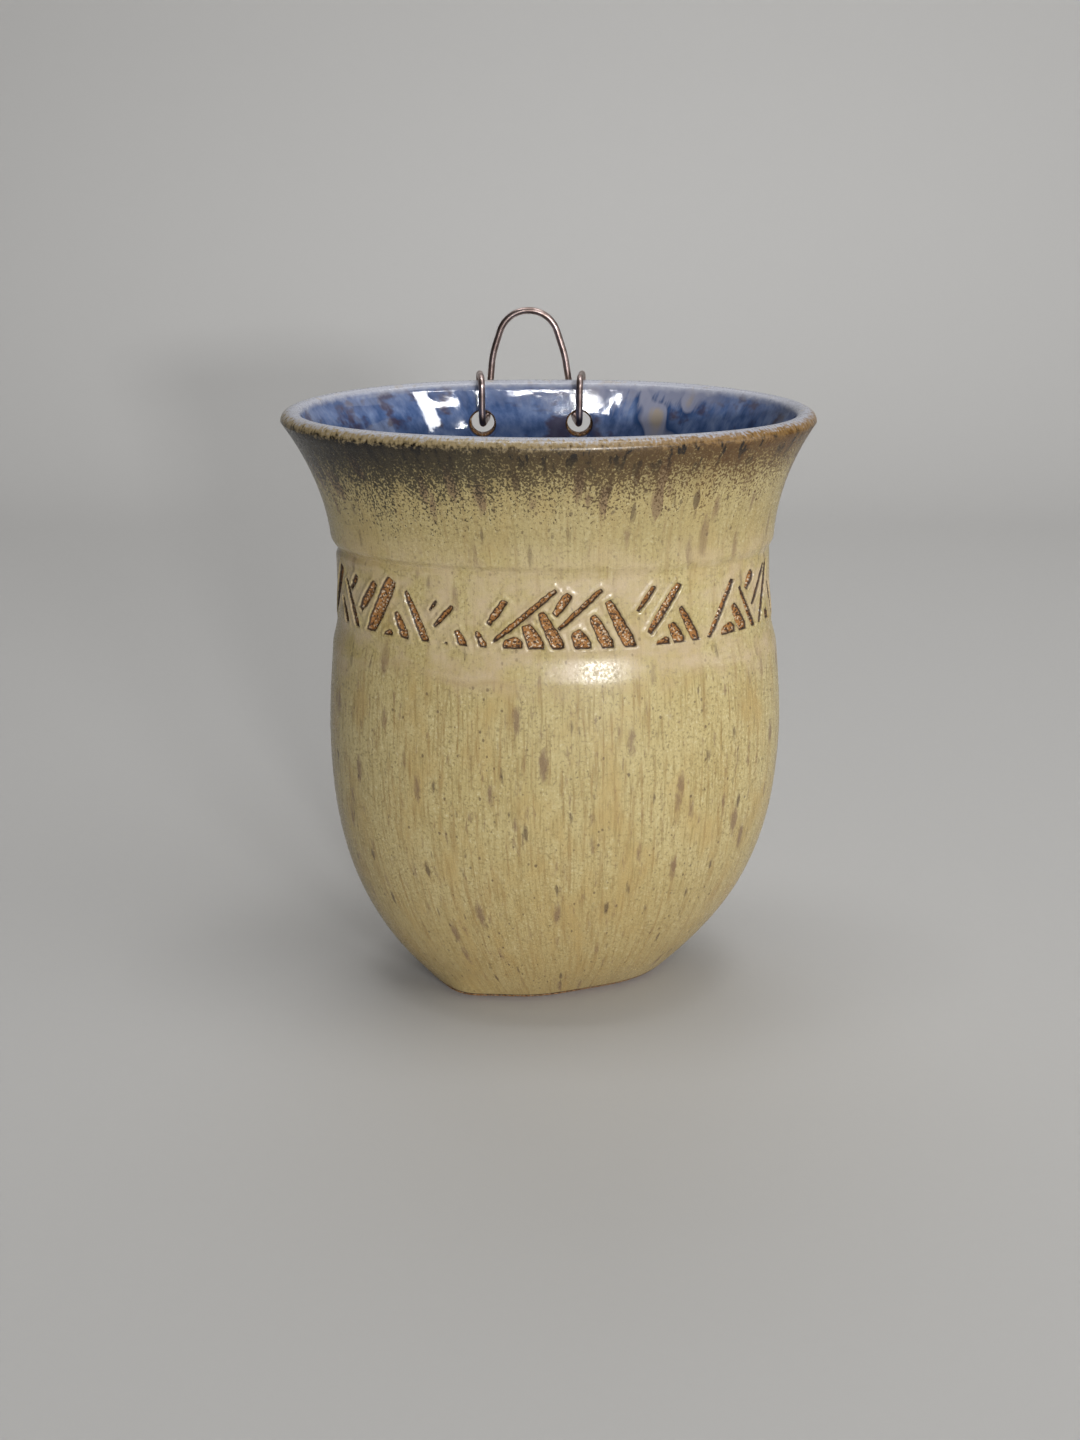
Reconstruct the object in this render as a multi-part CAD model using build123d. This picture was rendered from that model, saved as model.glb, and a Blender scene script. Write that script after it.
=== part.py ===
"""Hanging wall vase: a stoneware pot with a flattened back, and a copper wire hanger in two back holes.

Millimetres. The origin is on the flat underside of the foot, under the pot's axis, +Z is up, +X is to the
right seen from the front, and +Y points out of the flat back.
"""
import os
from math import atan2, cos, pi, radians, sin, tan

from build123d import *

# Pot, outside
FOOT_WIDTH = 63.0
BELLY_WIDTH = 114.3
BELLY_HEIGHT = 66.0
BELLY_SHIFT = 1.8
NECK_WIDTH = 107.8
RIM_WIDTH = 127.0
RIM_HEIGHT = 148.6
RIM_RISE = 2.2
NECK_BELOW_RIM = 32.6
DEPTH_RATIO = 0.66
BACK_DEPTH = 31.5
BACK_FLARE = 2.5
FOOT_FULLNESS = 2.6
FOOT_TWIST = 9.0
LIP_FLARE = 2.0
FLAT_LEAST = 4.0
FLAT_SPREAD = 1.6

# Pot, wall and edges
WALL = 5.0
FLOOR = 8.0
LIP_DROP = 2.1
LIP_FLAT = 0.4
FOOT_RADIUS = 1.5
CUT_MARGIN = 6.0

# Sections that the pot is lofted through
LOW_SECTIONS = 6
LOW_CROWDING = 1.6
MIDDLE_SECTIONS = 3
HIGH_SECTIONS = 4

# Carved basket-weave band across the front
BAND_BELOW_NECK = 15.0
MOTIF_PITCH = 17.4
MOTIF_SHIFT = 4.9
CARVE_DEPTH = 0.9
BAR_WIDTH = 2.0
RIDGE = 0.8
DIAGONAL_ANGLE = 40.0
DIAGONAL_LENGTH = 14.0
DIAGONAL_RISE = 3.0
SHORT_RISE = 5.0
SHORT_SHIFT = -1.4
SHORT_LENGTH = 5.0
STAKE_COUNT = 3
STAKE_ANGLE = 122.0
STAKE_START = 5.6
STAKE_STEP = 4.6

# Hanger holes in the back
HOLE_DIAMETER = 6.0
HOLE_SPACING = 24.8
HOLE_BELOW_RIM = 10.5
HANGER_OFFSET = -4.3

# Wire hanger
WIRE_DIAMETER = 1.7
WIRE_CLEARANCE = 1.6
RIM_CLEARANCE = 0.2
WIRE_BEND = 2.2
ARCH_HEIGHT = 16.7
ARCH_WIDTH = 11.2
ARCH_FLAT = 0.3
ARCH_OFFSET = -0.6
SHOULDER_WIDTH = 18.6
SHOULDER_DROP = 11.0
SHOULDER_BEND = 25.0
LEG_INSET = 1.0
TAIL_OFFSET = 1.0
TAIL_LENGTH = 6.0

neck_height = RIM_HEIGHT - NECK_BELOW_RIM
band_bottom = neck_height - BAND_BELOW_NECK
rim_crest = RIM_HEIGHT + RIM_RISE
hole_height = rim_crest - HOLE_BELOW_RIM
hole_places = [HANGER_OFFSET - HOLE_SPACING / 2, HANGER_OFFSET + HOLE_SPACING / 2]


def half_width(z):
    """Half of the pot's outside width at height z: full belly, slight neck, flared lip."""
    foot, belly = FOOT_WIDTH / 2, BELLY_WIDTH / 2
    neck, rim = NECK_WIDTH / 2, RIM_WIDTH / 2
    if z < BELLY_HEIGHT:
        return foot + (belly - foot) * (1 - (1 - z / BELLY_HEIGHT) ** FOOT_FULLNESS)
    if z < neck_height:
        share = (z - BELLY_HEIGHT) / (neck_height - BELLY_HEIGHT)
        return neck + (belly - neck) * (1 + cos(pi * share)) / 2
    return neck + (rim - neck) * flare(z)


def flare(z):
    """Share of the lip's outward flare that is reached at height z: all of it just under the rounded edge."""
    share = (z - neck_height) / (NECK_BELOW_RIM - LIP_DROP)
    return max(0.0, share) ** LIP_FLARE


def lip_radius():
    """Rounding of the lip's two edges, which leaves a narrow flat on top, measured square to the flare."""
    flare_angle = atan2(half_width(RIM_HEIGHT) - half_width(RIM_HEIGHT - LIP_DROP), LIP_DROP)
    return (WALL - LIP_FLAT) / 2 * cos(flare_angle)


def lean(level):
    """Sideways shift of the hand-thrown belly, none at the foot and the rim."""
    return BELLY_SHIFT * sin(pi * level / RIM_HEIGHT)


def twist(level):
    """Turn of the plan in degrees: the foot was set down a little askew, and the belly hides it."""
    return FOOT_TWIST * max(0.0, 1 - level / BELLY_HEIGHT) ** 2


def inside_level(z):
    """Height on the outside whose width the inside follows at height z: the pot thickens at its bottom."""
    return z - FLOOR * max(0.0, 1 - z / BELLY_HEIGHT)


def back_face(level):
    """Distance of the outside of the back from the axis: an oval, patted flat, whose lip flares a little."""
    return min(DEPTH_RATIO * half_width(level), BACK_DEPTH + BACK_FLARE * flare(level))


def plan(z, level, inset):
    """Outline at height z, drawn in by inset from the outside at level."""
    oval_depth = DEPTH_RATIO * half_width(level)
    flat = FLAT_LEAST + FLAT_SPREAD * (oval_depth - back_face(level))
    side = half_width(level) - inset
    front = oval_depth - inset
    back = back_face(level) - inset
    outline = [
        EllipticalCenterArc((0, 0), side, front, 180, arc_size=90),
        EllipticalCenterArc((0, 0), side, front, 270, arc_size=90),
        EllipticalCenterArc((flat, 0), side - flat, back, 0, arc_size=90),
        Line((flat, back), (-flat, back)),
        EllipticalCenterArc((-flat, 0), side - flat, back, 90, arc_size=90),
    ]
    return Pos(lean(level), 0, z) * Rot(0, 0, twist(level)) * make_face(outline)


def heights(bottom, top):
    """Section heights, closer together where the bottom curves fast."""
    low = [(step / LOW_SECTIONS) ** LOW_CROWDING for step in range(LOW_SECTIONS)]
    middle = [step / MIDDLE_SECTIONS for step in range(MIDDLE_SECTIONS)]
    high = [step / HIGH_SECTIONS for step in range(HIGH_SECTIONS + 1)]
    return (
        [bottom + (BELLY_HEIGHT - bottom) * share for share in low]
        + [BELLY_HEIGHT + (neck_height - BELLY_HEIGHT) * share for share in middle]
        + [neck_height + (top - neck_height) * share for share in high]
    )


def rim_ball():
    """Large ball whose crown cuts the rim a little higher in the middle of the back."""
    crown_y = back_face(RIM_HEIGHT) - WALL / 2
    side = (RIM_WIDTH - WALL) / 2
    radius = (side ** 2 + crown_y ** 2 + RIM_RISE ** 2) / (2 * RIM_RISE)
    return Pos(0, crown_y, rim_crest - radius) * Sphere(radius)


def front_arc(z, past):
    """The pot's oval at height z across the front, past degrees beyond the left and right sides."""
    half = half_width(z)
    return EllipticalCenterArc((0, 0), half, DEPTH_RATIO * half, 180 - past, arc_size=180 + 2 * past)


def on_front(across, z):
    """Point on the pot's front, measured across it from the middle, and the outward direction there."""
    arc = front_arc(z, 30)
    place = arc.length / 2 + across
    point = arc.position_at(place, position_mode=PositionMode.LENGTH)
    along = arc.tangent_at(place, position_mode=PositionMode.LENGTH)
    return Vector(point.X + lean(z), point.Y, z), along.cross(Vector(0, 0, 1))


def carved_bar(across, rise, angle, length):
    """Bar pressed into the front, from a point of the band along an angle."""
    run, climb = length * cos(radians(angle)), length * sin(radians(angle))
    base = band_bottom + rise
    start, _ = on_front(across, base)
    end, _ = on_front(across + run, base + climb)
    middle, outward = on_front(across + run / 2, base + climb / 2)
    lie = Plane(middle, x_dir=end - start, z_dir=outward)
    height = CARVE_DEPTH + CUT_MARGIN
    return lie * Pos(0, 0, CUT_MARGIN / 2 - CARVE_DEPTH / 2) * Box(length, BAR_WIDTH, height)


def stake_length(foot):
    """Length of a stake that leans from the band's bottom line up to just under the diagonal."""
    slope = tan(radians(DIAGONAL_ANGLE))
    under = (BAR_WIDTH / 2 + RIDGE) / cos(radians(DIAGONAL_ANGLE))
    tilt = radians(STAKE_ANGLE)
    return (DIAGONAL_RISE - under + foot * slope) / (sin(tilt) - cos(tilt) * slope)


def motif(across):
    """One weave motif: a long diagonal, a short one above it and the stakes that lean against it."""
    bars = [carved_bar(across, DIAGONAL_RISE, DIAGONAL_ANGLE, DIAGONAL_LENGTH)]
    short_rise = DIAGONAL_RISE + SHORT_RISE + SHORT_SHIFT * tan(radians(DIAGONAL_ANGLE))
    bars.append(carved_bar(across + SHORT_SHIFT, short_rise, DIAGONAL_ANGLE, SHORT_LENGTH))
    for stake in range(STAKE_COUNT):
        foot = STAKE_START + STAKE_STEP * stake
        bars.append(carved_bar(across + foot, 0, STAKE_ANGLE, stake_length(foot)))
    return bars


def carved_band():
    """Motifs side by side, as many as fit across the front."""
    count = round(front_arc(band_bottom, 0).length / MOTIF_PITCH)
    start = MOTIF_SHIFT - MOTIF_PITCH * count / 2
    return [motif(start + MOTIF_PITCH * step) for step in range(count)]


def hanger_hole(across):
    """Round hole through the back wall for the wire."""
    middle = back_face(hole_height) - WALL / 2
    return Pos(across, middle, hole_height) * Rot(90, 0, 0) * Cylinder(HOLE_DIAMETER / 2, WALL + CUT_MARGIN)


def make_vessel():
    """Pot of one piece: lofted outside less its inside, rounded lip and foot, carving and hanger holes."""
    top = rim_crest + CUT_MARGIN
    outside = loft([plan(z, z, 0) for z in heights(0, top)])
    outside = fillet(outside.faces().sort_by(Axis.Z)[0].edges(), FOOT_RADIUS)
    inside = loft([plan(z, inside_level(z), WALL) for z in heights(FLOOR, top)])
    pot = (outside - inside) & rim_ball()
    pot = fillet(pot.faces().sort_by(Axis.Z)[-1].edges(), lip_radius())
    for bars in carved_band():
        pot -= bars
    pot -= [hanger_hole(across) for across in hole_places]
    return pot


def wire_route():
    """Corner points of the wire, from one tail behind the rim to the other."""
    radius = WIRE_DIAMETER / 2
    behind = back_face(RIM_HEIGHT) + WIRE_CLEARANCE + radius
    within = back_face(hole_height) - WALL - WIRE_CLEARANCE - radius
    over_rim = rim_crest + RIM_CLEARANCE + radius
    arch_top = rim_crest + ARCH_HEIGHT
    hook = HOLE_SPACING / 2
    halves = []
    for side in (-1, 1):
        halves.append([
            (HANGER_OFFSET + side * (hook + TAIL_OFFSET), behind, rim_crest - TAIL_LENGTH),
            (HANGER_OFFSET + side * (hook + TAIL_OFFSET), behind, over_rim),
            (HANGER_OFFSET + side * hook, within, over_rim),
            (HANGER_OFFSET + side * hook, within, hole_height),
            (HANGER_OFFSET + side * (hook - LEG_INSET), behind, hole_height),
            (HANGER_OFFSET + ARCH_OFFSET + side * SHOULDER_WIDTH / 2, behind, arch_top - SHOULDER_DROP),
            (HANGER_OFFSET + ARCH_OFFSET + side * ARCH_WIDTH / 2, behind, arch_top),
        ])
    left, right = halves
    return left + right[::-1]


def arch_bend():
    """Radius of the arch's top, which leaves a very short flat between its two bends."""
    spread = atan2((SHOULDER_WIDTH - ARCH_WIDTH) / 2, SHOULDER_DROP)
    return (ARCH_WIDTH - ARCH_FLAT) / 2 * tan((pi / 2 + spread) / 2)


def make_wire():
    """Bent wire: arch, legs behind the back, passes through the holes and hooks over the rim."""
    half = [WIRE_BEND] * 4 + [SHOULDER_BEND, arch_bend()]
    bends = half + half[::-1]
    path = FilletPolyline(*wire_route(), radius=bends)
    wire = sweep(Plane(path ^ 0) * Circle(WIRE_DIAMETER / 2), path=path)
    straight_volume = path.length * pi * WIRE_DIAMETER ** 2 / 4
    print("wire length", round(path.length, 1), "swept share", round(wire.volume / straight_volume, 4))
    return wire


os.makedirs("parts", exist_ok=True)
export_step(make_vessel(), "parts/vessel.step")
export_step(make_wire(), "parts/wire_hanger.step")
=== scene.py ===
"""Hanging wall vase: a thrown, altered stoneware pot with a carved band, its copper wire hanger and a stage.

Metres. The origin is on the flat underside of the foot, under the pot's axis, +Z is up, +X is to the right
seen from the front, and +Y points out of the flat back. The hand's marks and the glaze are given in
millimetres.
"""
from collections import namedtuple
from math import atan2, cos, pi, radians, sin, tan

import bpy
import numpy as np
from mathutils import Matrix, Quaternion, Vector, kdtree, noise


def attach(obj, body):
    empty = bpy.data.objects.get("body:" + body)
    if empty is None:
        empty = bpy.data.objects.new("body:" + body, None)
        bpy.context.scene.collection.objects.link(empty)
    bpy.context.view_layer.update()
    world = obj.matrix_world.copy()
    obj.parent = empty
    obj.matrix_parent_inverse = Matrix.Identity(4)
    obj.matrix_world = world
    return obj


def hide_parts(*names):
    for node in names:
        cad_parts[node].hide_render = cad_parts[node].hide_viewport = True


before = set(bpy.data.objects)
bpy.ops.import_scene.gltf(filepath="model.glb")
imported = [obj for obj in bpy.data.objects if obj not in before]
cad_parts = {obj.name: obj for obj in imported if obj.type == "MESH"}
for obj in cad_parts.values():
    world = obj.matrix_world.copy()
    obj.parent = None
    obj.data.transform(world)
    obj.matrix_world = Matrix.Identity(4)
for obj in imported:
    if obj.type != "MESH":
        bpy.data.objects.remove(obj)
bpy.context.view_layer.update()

bl_info = {
    "name": "Hanging Wall Vase",
    "version": (1, 0, 0),
    "blender": (4, 5, 0),
    "location": "3D View > Sidebar > Wall Vase",
    "description": "Throws a stoneware wall vase, carves its band, bends its wire hanger and lights it",
    "category": "Add Mesh",
}

MM = 0.001

# Form of the pot beside the sizes in the panel: the fullness of the foot's curve, how far below the rim the
# flare is full, and how much half of the back's flat strip grows for each millimetre patted off the oval
FOOT_FULLNESS = 2.6
FLARE_END = 0.0021
FLAT_GROWTH = 1.6

# Columns of the pot's mesh, their share on the front, their crowding at the sides and the flat strip's share
COLUMNS = 480
FRONT_SHARE = 0.75
SIDE_CROWDING = 0.2
FLAT_COLUMNS = 0.2

# Rows of the pot's mesh: heights in metres where the outside changes its step, the steps in millimetres, and
# the angle in degrees from which an edge stays sharp
ROW_STOPS = (0.020, 0.089, 0.099, 0.1195)
ROW_STEPS = (1.6, 2.4, 0.8, 0.4, 1.7)
INSIDE_STEP = 3.0
CURVE_STEPS = 5
LIP_STEPS = 12
ARC_STEPS = 400
POT_CREASE = 40

# Underside and floor: each row's share of the plan, and the height where the inside curves into the floor
UNDERSIDE_ROWS = (0, 0.3, 0.6, 0.85)
FLOOR_ROWS = (0.55, 0.25, 0)
FLOOR_EDGE = 0.8
FLOOR_CURVE = 0.014

# Slow waves of the hand: length in metres, height and lowest place in millimetres, and what is left inside
WAVE_LENGTH = 0.026
WAVE_HEIGHT = 0.3
WAVES_ABOVE = 2
INSIDE_WAVES = 0.25

# Belt pressed in for the band, and the ledge above it, in millimetres. Both fade over this share of the back.
BELT_DEPTH = 0.9
BELT_FOOT = (91.0, 98.0)
BELT_HEAD = (116.0, 119.0)
BELT_FADE = 0.4
LEDGE_HEIGHT = 117.9
LEDGE_DEPTH = 0.7
LEDGE_WIDTH = 0.8
LEDGE_SAG = 0.0005

# The ledge loses a share of its depth from one place across the front to another.
LEDGE_LOSSES = ((-30, 0, 0.5), (0, 24, 0.45))

# Lump and dent in the foot's front edge, and the height of its bare clay, in millimetres
Dent = namedtuple("Dent", "push across wide tall")
FOOT_DENTS = (Dent(2.2, -21, 6, 5), Dent(-1.8, 11, 12, 8))
FOOT_BARE = 1.8

# Pressed strokes, in millimetres and degrees
BAND_BOTTOM = 99.8
BAND_TOP = 121
BAND_MARGIN = 4
STROKE_DEPTH = 0.9
STROKE_EDGE = (0.1, -0.45)
STROKE_OVERRUN = 1.2
STROKE_POINT = 0.3
POINT_SHARPNESS = 4
STROKE_WOBBLE = 0.22
WOBBLES_PER_MM = 0.9
BURR_HEIGHT = 0.22
BURR_PLACE = 0.5
BURR_WIDTH = 0.4
STAKE_LEAN = 116.0
STAKE_FLARE = 0.5
SHORT_SLOPE = 54.0

# Distance in millimetres that counts as far from any edge
FAR = 9.0

# Hanger holes: how deep and wide their edges are eased, the spool that cuts them, and their bare clay
HOLE_EASE = 0.0006
HOLE_FLARE = 0.0008
SPOOL_REACH = 0.006
SPOOL_STEPS = 48
HOLE_BARE = 0.5

# Mesh of the wire, with the angle in degrees from which an edge stays sharp
BEND_STEPS = 14
WIRE_ROUNDING = 5
WIRE_CREASE = 50

# One motif of the weave, in millimetres and degrees: a diagonal stroke, a short stroke above it, and stakes
# that lean against the diagonal from below, a gap away, and reach no higher than the last value. A short
# stroke has its place across, rise, length and width, and a stake its foot and width.
Motif = namedtuple("Motif", "start rise slope length width gap short stakes reach", defaults=(12.0,))
WEAVE = (
    Motif(-66.0, 1.0, 62, 14.0, 3.0, 2.0, (-54.0, 9.6, 3.4, 1.6),
          ((-56.6, 1.6), (-51.8, 1.5))),
    Motif(-46.8, 0.6, 62, 14.6, 3.6, 2.6, (-50.0, 5.4, 8.0, 2.3),
          ((-41.0, 2.6), (-36.1, 2.2), (-30.6, 1.9))),
    Motif(-27.7, 4.8, 48, 5.8, 1.3, 3.6, (-29.0, 8.4, 2.0, 0.8),
          ((-25.8, 1.3), (-21.2, 1.8), (-16.4, 1.5)), 3.6),
    Motif(-13.4, 2.2, 40, 18.0, 1.4, 1.0, (-14.7, 6.4, 5.8, 1.8),
          ((-9.4, 4.4), (-4.0, 3.4), (0.9, 2.8))),
    Motif(1.7, 5.4, 42, 12.5, 1.3, 2.2, (0.6, 8.8, 5.0, 2.2),
          ((6.7, 3.6), (12.4, 2.8), (17.6, 2.8))),
    Motif(22.5, 3.9, 55, 12.4, 2.0, 2.3, (20.0, 9.2, 5.8, 1.3),
          ((25.3, 3.5), (29.6, 2.6), (33.9, 2.0))),
    Motif(38.0, 1.1, 59, 13.7, 1.6, 2.4, (50.5, 10.6, 3.6, 2.4),
          ((43.6, 4.4), (48.5, 2.7), (52.6, 1.4))),
    Motif(55.7, 1.4, 70, 14.0, 1.8, 2.0, (53.0, 6.3, 9.6, 1.4),
          ((60.5, 2.4), (66.0, 2.0))),
)

# Stage, in metres
SWEEP_WIDTH = 4.0
SWEEP_START = 0.5
SWEEP_RADIUS = 0.3
SWEEP_STEPS = 16

# Air round the stage: its strength as light and as the background that the camera sees
AIR_LIGHT = 0.05
AIR_SEEN = 0.15

# Camera: place in metres, downward tilt in degrees, lens and sensor in millimetres
CAMERA_PLACE = (-0.00195, -0.3592, 0.2059)
CAMERA_TILT = 20.81
LENS = 37.5
SENSOR_WIDTH = 36

# Lamps: direction from the point they aim at in degrees, distance and size in metres, power in watts
Lamp = namedtuple("Lamp", "name aim azimuth elevation away wide tall roll power")
MIDDLE = (0.0, 0.0, 0.09)
RIM_BACK = (0.0, 0.03, 0.145)
LAMPS = (
    Lamp("window", MIDDLE, 15, 8.4, 1.6, 0.14, 0.085, 0, 11.4),
    Lamp("small window", RIM_BACK, 1.9, 5.8, 1.6, 0.022, 0.13, 0, 0.8),
    Lamp("strip", RIM_BACK, -0.3, 8.6, 1.6, 0.08, 0.014, 0, 0.3),
    Lamp("side window", RIM_BACK, 26.5, 16.5, 1.6, 0.19, 0.24, 0, 3.4),
    Lamp("transom", RIM_BACK, 18, 15.6, 1.6, 0.46, 0.035, 20, 2.2),
    Lamp("bounce", MIDDLE, 68, 13, 0.95, 0.5, 0.5, 0, 1.1),
    Lamp("ceiling", MIDDLE, 55, 62, 1.3, 1.0, 1.0, 0, 4.6),
    Lamp("back light", MIDDLE, 185, 55, 1.1, 0.8, 0.5, 0, 1.6),
    Lamp("backdrop lamp", (0.0, 0.75, 0.2), 0, 56, 1.35, 0.8, 0.3, 0, 5.4),
)

# Slant of the blue glaze's lobes, which lie lower to the right
LOBE_SLANT = (0.0, 0.0, -0.5)

# Iron marks: cells so many millimetres wide and tall, the share of cells left empty, and a mark's reach
# and opacity in its cell
Drip = namedtuple("Drip", "tint wide tall empty reach opacity")
DRIPS = (
    Drip("mauve", 2.8, 11.0, 0.3, 0.42, 0.68),
    Drip("speck", 1.7, 6.5, 0.74, 0.38, 0.68),
    Drip("speck", 0.8, 1.1, 0.9, 0.46, 0.6),
)


def linear(code):
    """Turns an sRGB hex colour into the linear values that shaders take."""
    shares = [int(code[place:place + 2], 16) / 255 for place in (1, 3, 5)]
    return [share / 12.92 if share <= 0.04045 else ((share + 0.055) / 1.055) ** 2.4 for share in shares]


def length(name, description, default):
    """A size in metres for the panel."""
    return bpy.props.FloatProperty(
        name=name, description=description, default=default, unit="LENGTH", precision=4)


def colour(name, description, code):
    """A colour for the panel, given as sRGB hex."""
    return bpy.props.FloatVectorProperty(
        name=name, description=description, default=linear(code), subtype="COLOR", size=3, min=0, max=1)


class PotSizes(bpy.types.PropertyGroup):
    """Sizes of the thrown pot."""
    foot_width: length("Foot width", "Width of the foot", 0.063)
    belly_width: length("Belly width", "Widest part of the belly", 0.1143)
    belly_height: length("Belly height", "Height of the widest part of the belly", 0.066)
    belly_shift: length("Belly shift", "How far the belly leans to the right", 0.0018)
    neck_width: length("Neck width", "Width of the narrow neck", 0.1078)
    neck_height: length("Neck height", "Height of the narrow neck", 0.116)
    rim_width: length("Rim width", "Width just under the rounded lip", 0.127)
    rim_height: length("Rim height", "Height of the lip at the sides", 0.1486)
    rim_rise: length("Rim rise", "How much higher the middle of the back is", 0.0022)
    back_depth: length("Back depth", "Distance of the flat back from the axis", 0.0315)
    back_flare: length("Back flare", "How far the back's lip flares", 0.0025)
    flat_least: length("Least flat", "Half of the flat strip of the back where the pot is narrow", 0.004)
    wall: length("Wall", "Thickness of the wall", 0.005)
    floor: length("Floor", "Thickness of the floor", 0.008)
    lip_height: length("Lip height", "Height of the lip's rounding", 0.0022)
    foot_radius: length("Foot rounding", "Rounding of the foot's edge", 0.0015)
    hole_diameter: length("Hole diameter", "Diameter of the hanger holes", 0.006)
    hole_spacing: length("Hole spacing", "Distance between the hanger holes", 0.0248)
    hole_height: length("Hole height", "Height of the hanger holes", 0.1403)
    hole_offset: length("Hole offset", "Sideways place of the middle between the holes", -0.0043)
    foot_twist: bpy.props.FloatProperty(
        name="Foot twist", description="Turn of the foot against the rim",
        default=radians(9), subtype="ANGLE")
    depth_ratio: bpy.props.FloatProperty(
        name="Depth ratio", description="Front depth of the oval for its half width",
        default=0.66, subtype="FACTOR")


class WireSizes(bpy.types.PropertyGroup):
    """Sizes of the bent wire."""
    diameter: length("Diameter", "Thickness of the wire", 0.0017)
    bend: length("Bend", "Radius of the small bends", 0.0022)
    behind: length("Behind", "Distance of the legs behind the axis", 0.0368)
    within: length("Within", "Distance of the hooks inside the pot from the axis", 0.0256)
    over_rim: length("Over the rim", "Height at which the hooks cross the rim", 0.15185)
    arch_top: length("Arch top", "Height of the top of the arch", 0.1675)
    arch_width: length("Arch width", "Distance between the corners that the top of the arch rounds", 0.0112)
    arch_flat: length("Arch flat", "Short flat at the top of the arch", 0.0003)
    shoulder_width: length("Shoulder width", "Distance between the legs where the arch starts", 0.0186)
    shoulder_drop: length("Shoulder drop", "How far the shoulders lie below the top of the arch", 0.011)
    shoulder_bend: length("Shoulder bend", "Radius of the gentle bends at the shoulders", 0.025)
    arch_offset: length("Arch offset", "Sideways lean of the arch", -0.0006)
    leg_inset: length("Leg inset", "How far the legs draw in from the holes", 0.001)
    tail_offset: length("Tail offset", "How far the tails spread behind the rim", 0.001)
    tail_end: length("Tail end", "Height of the ends of the tails", 0.1448)


class PotColours(bpy.types.PropertyGroup):
    """Colours of the clay and its glazes."""
    ochre: colour("Ochre", "Satin glaze of the outside", "#b9a772")
    pale: colour("Pale ochre", "Where the ochre glaze lies thick", "#c2b280")
    cream: colour("Cream", "Light grain of the ochre glaze", "#cfc297")
    sage: colour("Sage", "Dark grey-green grain of the ochre glaze", "#8a7b54")
    tan: colour("Tan", "Fine streaks of the ochre glaze", "#988453")
    honey: colour("Honey", "Warm broad runs of the ochre glaze", "#b69c63")
    rust: colour("Rust", "Warm streaks where the glaze breaks", "#957949")
    mauve: colour("Mauve", "Purplish smears and drips of iron", "#735846")
    blush: colour("Blush", "Pinkish bloom around the band", "#c5b091")
    speck: colour("Speck", "Iron specks and short drips", "#453228")
    smoke: colour("Smoke", "Dark run glaze under the lip", "#342a1a")
    umber: colour("Umber", "Warmer run glaze under the right of the lip", "#573a1a")
    # Ink also darkens the run glaze towards the left, and there it is painted shade.
    ink_and_shade: colour("Ink", "Brown-black blots under the lip", "#130f0d")
    lip: colour("Lip", "Thin glaze on top of the lip", "#a3a6b2")
    sand: colour("Sand", "Thin glaze on the lip's outer edge", "#a8956f")
    amber: colour("Amber", "Thin glaze on the right of the lip's outer edge", "#8b6733")
    blue: colour("Blue", "Glossy glaze of the inside", "#4f648e")
    light_blue: colour("Light blue", "Thick parts of the blue glaze", "#7b8cae")
    deep_blue: colour("Deep blue", "Pools of the blue glaze", "#2a436c")
    vein: colour("Vein", "Lavender seams of the blue glaze", "#8d8fa0")
    plum: colour("Plum", "Brown spots in the blue glaze", "#463943")
    clay: colour("Clay", "Bare fired clay", "#a6733c")
    clay_light: colour("Light clay", "Light grit of the clay", "#d2bc9e")
    clay_dark: colour("Dark clay", "Dark grit and burnt edges of the clay", "#33241b")


class WireColours(bpy.types.PropertyGroup):
    """Colours of the aged wire."""
    bright: colour("Bright", "Rubbed copper", "#c7b3ae")
    brown: colour("Brown", "Brown patina", "#82706a")


class StageColours(bpy.types.PropertyGroup):
    """Colours of the stage."""
    sweep: colour("Sweep", "Pale floor that curves up behind", "#b9b8b6")
    air: colour("Air", "Air round the stage", "#c9c9cf")


def smooth(low, high, value):
    """Runs from 0 at low to 1 at high without corners."""
    share = np.clip((value - low) / (high - low), 0, 1)
    return share * share * (3 - 2 * share)


def flare(sizes, z):
    """Share of the lip's flare that is reached at height z."""
    full = sizes.rim_height - FLARE_END
    return max(0.0, (z - sizes.neck_height) / (full - sizes.neck_height)) ** 2


def half_width(sizes, z):
    """Half of the pot's width at height z."""
    foot, belly = sizes.foot_width / 2, sizes.belly_width / 2
    neck, rim = sizes.neck_width / 2, sizes.rim_width / 2
    if z < sizes.belly_height:
        return foot + (belly - foot) * (1 - (1 - z / sizes.belly_height) ** FOOT_FULLNESS)
    if z < sizes.neck_height:
        share = (z - sizes.belly_height) / (sizes.neck_height - sizes.belly_height)
        return neck + (belly - neck) * (1 + cos(pi * share)) / 2
    return neck + (rim - neck) * flare(sizes, z)


# One row of the pot: its height, the outside height whose plan it follows, how far it is drawn in from that,
# how much of the plan is left on the way to the axis, and whether it belongs to the inside.
Row = namedtuple("Row", "z level inset left inside")


def rows_between(low, high, step):
    """Heights from low up to but not at high, about one step apart."""
    count = max(1, round((high - low) / step))
    return [low + (high - low) * index / count for index in range(count)]


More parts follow.
